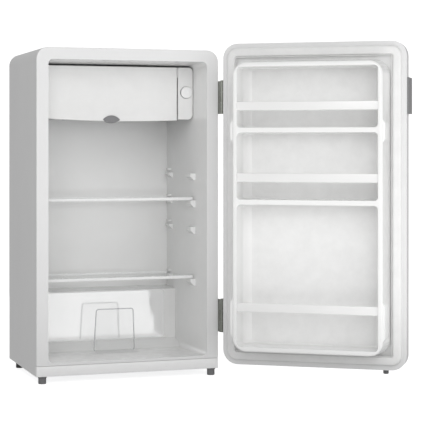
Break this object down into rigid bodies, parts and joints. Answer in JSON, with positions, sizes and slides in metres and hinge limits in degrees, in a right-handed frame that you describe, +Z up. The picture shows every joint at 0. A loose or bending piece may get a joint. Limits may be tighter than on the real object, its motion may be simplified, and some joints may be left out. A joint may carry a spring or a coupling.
{
  "type": "mini fridge",
  "caption": "Free-standing white mini fridge with rounded corners, a freezer flap, glass shelves and a door with bottle pockets, shown with its door open.",
  "frame": {"origin": "centre of the whole open fridge's footprint, on the floor", "axes": "+X to the right seen from the front, -Y out of the front of the cabinet, +Z up"},
  "size_m": [0.9088, 0.7154, 0.85],
  "materials": {
    "painted_shell": "satin white enamel on steel",
    "front_trim_white": "white moulded plastic",
    "liner_white": "glossy white formed plastic",
    "flap_white": "white moulded plastic",
    "grip_grey": "mid grey moulded plastic",
    "gasket_white": "soft white vinyl",
    "foam": "rigid foam, open cells at cut faces",
    "shelf_glass": "clear toughened glass",
    "clear_plastic": "clear moulded plastic",
    "trim_white": "bright white plastic trim",
    "galvanised": "galvanised sheet",
    "back_grey": "grey painted sheet",
    "hinge_steel": "dark plated steel",
    "foot_grey": "grey nylon",
    "foot_black": "black rubber",
    "compressor_black": "black enamel",
    "condenser_black": "black painted wire and tube",
    "copper": "drawn copper tube",
    "aluminium": "rolled aluminium",
    "handle_metal": "grey metallic paint",
    "panel_gloss": "polished white sheet",
    "screw_steel": "zinc plated",
    "dark_plastic": "black moulded plastic"
  },
  "bodies": {
    "cabinet": {"cabinet_shell": "painted_shell", "bottom_front_rail": "front_trim_white", "liner": "liner_white", "base_pan": "galvanised", "cabinet_foam": "foam", "back_panel": "back_grey", "rear_feet": "foot_black", "compressor_tray": "galvanised", "cord_gland": "dark_plastic", "compressor_pot": "compressor_black", "compressor_plate": "compressor_black", "compressor_grommets": "foot_black", "compressor_bolts": "screw_steel", "start_relay_cover": "dark_plastic", "evaporating_pan": "dark_plastic", "drain_tube": "front_trim_white", "condenser_tube": "condenser_black", "condenser_wires": "condenser_black", "condenser_clips": "dark_plastic", "discharge_tube": "copper", "liquid_tube": "condenser_black", "filter_dryer": "copper", "capillary_tube": "copper", "suction_tube": "copper", "evaporator_box": "aluminium", "evaporator_hangers": "front_trim_white", "flap_pivot_plates": "front_trim_white", "step_panel": "panel_gloss", "thermostat_housing": "flap_white", "thermostat_body": "galvanised", "thermostat_feeler": "copper", "cabinet_hinge_leaves": "hinge_steel", "hinge_pins": "hinge_steel", "cabinet_hinge_screws": "screw_steel"},
    "freezer_flap": {"freezer_flap": "flap_white", "flap_grip": "grip_grey"},
    "thermostat_knob": {"thermostat_knob": "trim_white"},
    "upper_shelf": {"upper_shelf_glass": "shelf_glass", "upper_shelf_front_trim": "trim_white", "upper_shelf_rear_trim": "trim_white"},
    "lower_shelf": {"lower_shelf_glass": "shelf_glass", "lower_shelf_front_trim": "trim_white", "lower_shelf_rear_trim": "trim_white"},
    "bottle_stand": {"bottle_stand": "clear_plastic"},
    "front_foot_left": {"front_foot_left": "foot_grey"},
    "front_foot_right": {"front_foot_right": "foot_grey"},
    "door": {"door_shell": "painted_shell", "door_foam": "foam", "door_liner": "liner_white", "door_gasket": "gasket_white", "door_bar_upper": "liner_white", "door_bar_middle": "liner_white", "door_bar_lower": "liner_white", "door_handle": "handle_metal", "door_peg": "foot_grey", "door_hinge_leaves": "hinge_steel", "door_hinge_screws": "screw_steel", "handle_screws": "screw_steel"}
  },
  "joints": [
    {"name": "door_hinge", "type": "hinge", "parent": "cabinet", "child": "door", "pos_m": [0.02386, -0.03833, 0.433], "axis": [0, 0, 1], "range_deg": [-145.6, 14.4]},
    {"name": "flap_hinge", "type": "hinge", "parent": "cabinet", "child": "freezer_flap", "pos_m": [-0.23644, 0.08467, 0.79], "axis": [-1, 0, 0], "range_deg": [0, 80]},
    {"name": "knob_turn", "type": "hinge", "parent": "cabinet", "child": "thermostat_knob", "pos_m": [-0.03444, 0.07667, 0.729], "axis": [0, -1, 0], "range_deg": [0, 270]},
    {"name": "upper_shelf_slide", "type": "slide", "parent": "cabinet", "child": "upper_shelf", "axis": [0, -1, 0], "range_m": [0, 0.15]},
    {"name": "lower_shelf_slide", "type": "slide", "parent": "cabinet", "child": "lower_shelf", "axis": [0, -1, 0], "range_m": [0, 0.15]},
    {"name": "bottle_stand_slide", "type": "slide", "parent": "cabinet", "child": "bottle_stand", "axis": [0, -1, 0], "range_m": [0, 0.1]},
    {"name": "front_foot_left_turn", "type": "hinge", "parent": "cabinet", "child": "front_foot_left", "pos_m": [-0.43794, -0.01133, 0.01], "axis": [0, 0, 1], "continuous": true},
    {"name": "front_foot_right_turn", "type": "hinge", "parent": "cabinet", "child": "front_foot_right", "pos_m": [0.00306, -0.01133, 0.01], "axis": [0, 0, 1], "continuous": true}
  ]
}
